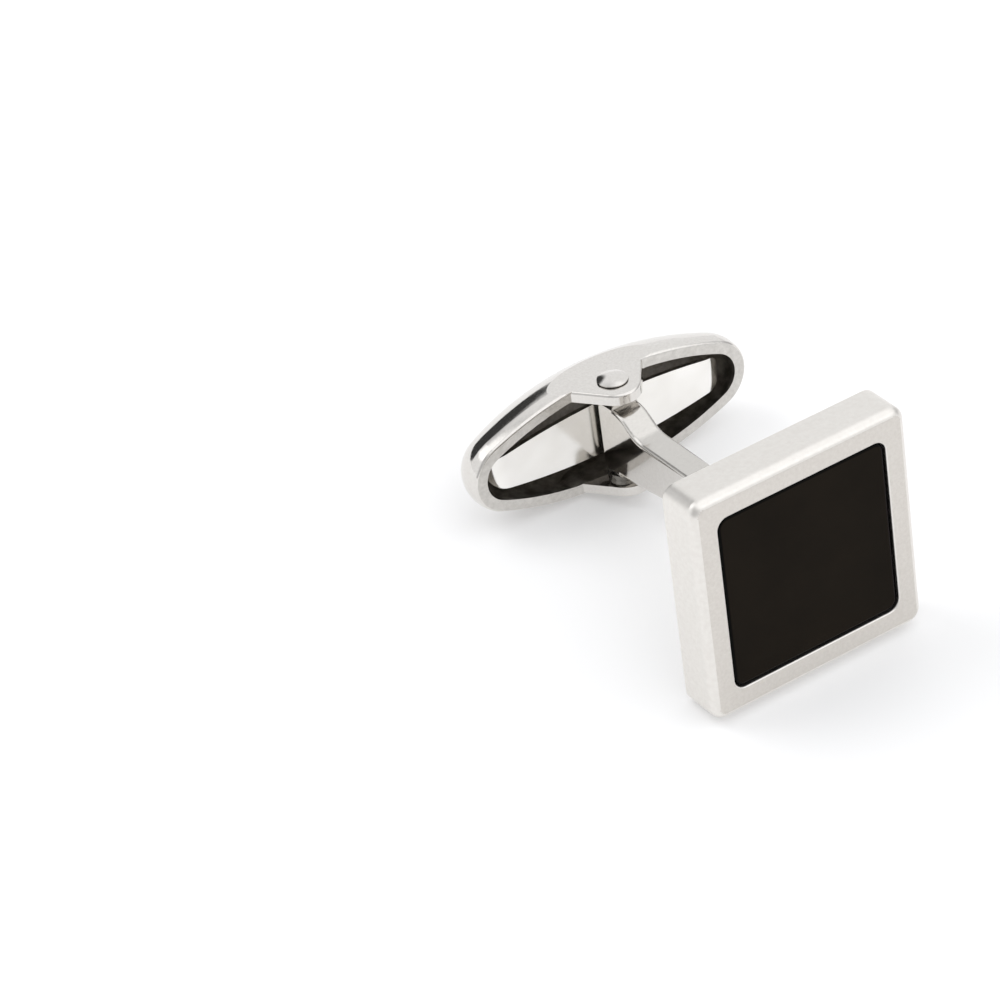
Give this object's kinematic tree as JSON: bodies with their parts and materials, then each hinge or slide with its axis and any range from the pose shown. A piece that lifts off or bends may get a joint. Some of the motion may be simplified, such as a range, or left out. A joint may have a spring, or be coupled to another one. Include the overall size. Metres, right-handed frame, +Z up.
{
  "type": "cufflink",
  "caption": "Square cufflink with a framed black stone face, a flat waisted post and a hollow boat-shaped toggle that swings about a rivet to pass and lock a cuff.",
  "frame": {"origin": "on the floor, under the middle of the outer box, with the cufflink lying as in the picture", "axes": "+X along the face's width and the toggle's length, +Y from the face back to the toggle, +Z up; the cufflink rests on the face's lower back edge and on the toggle, so the face leans back"},
  "size_m": [0.0198, 0.0254, 0.0152],
  "materials": {
    "face_steel": "satin stainless steel",
    "polished_steel": "polished stainless steel",
    "spring_steel": "bright spring steel",
    "black_stone": "polished black stone",
    "cement": "cured adhesive"
  },
  "bodies": {
    "link": {"bezel": "face_steel", "inlay": "black_stone", "inlay_cement": "cement", "post": "polished_steel"},
    "toggle": {"toggle_shell": "polished_steel", "leaf_spring": "spring_steel", "pivot_rivet": "polished_steel", "pivot_washers": "spring_steel"}
  },
  "joints": [
    {"name": "toggle_swing", "type": "hinge", "parent": "link", "child": "toggle", "pos_m": [0, 0.00736, 0.00416], "axis": [0, 0.1962, 0.9806], "range_deg": [-87, 87]}
  ]
}
